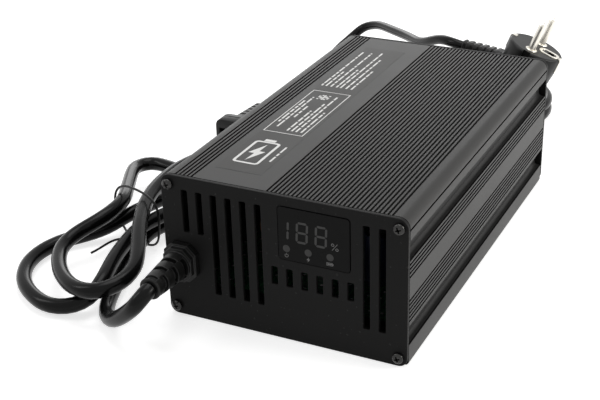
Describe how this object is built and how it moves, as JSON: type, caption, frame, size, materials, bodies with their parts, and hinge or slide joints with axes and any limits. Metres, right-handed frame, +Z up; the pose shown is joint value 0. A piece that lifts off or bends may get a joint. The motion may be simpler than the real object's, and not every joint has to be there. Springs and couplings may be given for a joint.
{
  "type": "lithium battery charger",
  "caption": "Black lithium battery charger: ribbed aluminium housing with slotted front plate, display window, strain-relieved output cord, rear fan and detachable mains lead with earthed plug.",
  "frame": {"origin": "middle of the housing's flat underside, on the surface that the charger stands on", "axes": "+Z up, -Y towards the slotted front plate with the display, +X to the right when facing the front plate"},
  "size_m": [0.2209, 0.4299, 0.0754],
  "materials": {
    "anodised_black": "black anodised extrusion, fine ribs, satin",
    "plate_black": "fine black powder coat, satin",
    "screw_black": "black oxide steel",
    "cord_black": "smooth black cable sheath, soft sheen",
    "moulded_black": "moulded black plastic, satin",
    "display_pane": "smoked display pane",
    "lamp_lens": "clear grey lens",
    "pin_nickel": "nickel plated",
    "board_green": "green circuit board",
    "ferrite": "dark grey ferrite",
    "copper_winding": "enamelled copper wire",
    "winding_tape": "yellow tape",
    "capacitor_sleeve": "shrunk sleeve",
    "heat_sink": "bare aluminium",
    "package_black": "black moulded package",
    "fuse_ceramic": "off-white ceramic"
  },
  "bodies": {
    "charger": {"circuit_board": "board_green", "display_board": "board_green", "display_module": "package_black", "display_window": "display_pane", "fan_frame": "moulded_black", "fan_screw_high_left": "screw_black", "fan_screw_high_right": "screw_black", "fan_screw_low_left": "screw_black", "fan_screw_low_right": "screw_black", "front_plate": "plate_black", "front_screw_high_left": "screw_black", "front_screw_high_right": "screw_black", "front_screw_low_left": "screw_black", "front_screw_low_right": "screw_black", "fuse": "fuse_ceramic", "heat_sink_primary": "heat_sink", "heat_sink_secondary": "heat_sink", "housing_extrusion": "anodised_black", "inlet_screw_left": "screw_black", "inlet_screw_right": "screw_black", "mains_capacitor_1": "capacitor_sleeve", "mains_capacitor_2": "capacitor_sleeve", "mains_choke": "copper_winding", "mains_connector": "moulded_black", "mains_cord_coil": "cord_black", "mains_cord_inlet_run": "cord_black", "mains_cord_plug_run": "cord_black", "mains_inlet": "moulded_black", "mains_plug": "moulded_black", "output_capacitor_1": "capacitor_sleeve", "output_capacitor_2": "capacitor_sleeve", "output_choke": "copper_winding", "output_connector": "moulded_black", "output_cord": "cord_black", "output_strain_relief": "moulded_black", "plug_pin_line": "pin_nickel", "plug_pin_neutral": "pin_nickel", "power_transistor_1": "package_black", "power_transistor_2": "package_black", "power_transistor_3": "package_black", "power_transistor_4": "package_black", "rear_plate": "plate_black", "rear_screw_high_left": "screw_black", "rear_screw_high_right": "screw_black", "rear_screw_low_left": "screw_black", "rear_screw_low_right": "screw_black", "standoff_front_left": "pin_nickel", "standoff_front_right": "pin_nickel", "standoff_rear_left": "pin_nickel", "standoff_rear_right": "pin_nickel", "status_lamp_1": "lamp_lens", "status_lamp_2": "lamp_lens", "status_lamp_3": "lamp_lens", "transformer_core": "ferrite", "transformer_winding": "winding_tape", "twist_tie": "moulded_black"},
    "fan_rotor": {"fan_rotor": "moulded_black"}
  },
  "joints": [
    {"name": "fan_spin", "type": "hinge", "parent": "charger", "child": "fan_rotor", "pos_m": [0.025, 0.0906, 0.038], "axis": [0, 1, 0], "continuous": true}
  ]
}
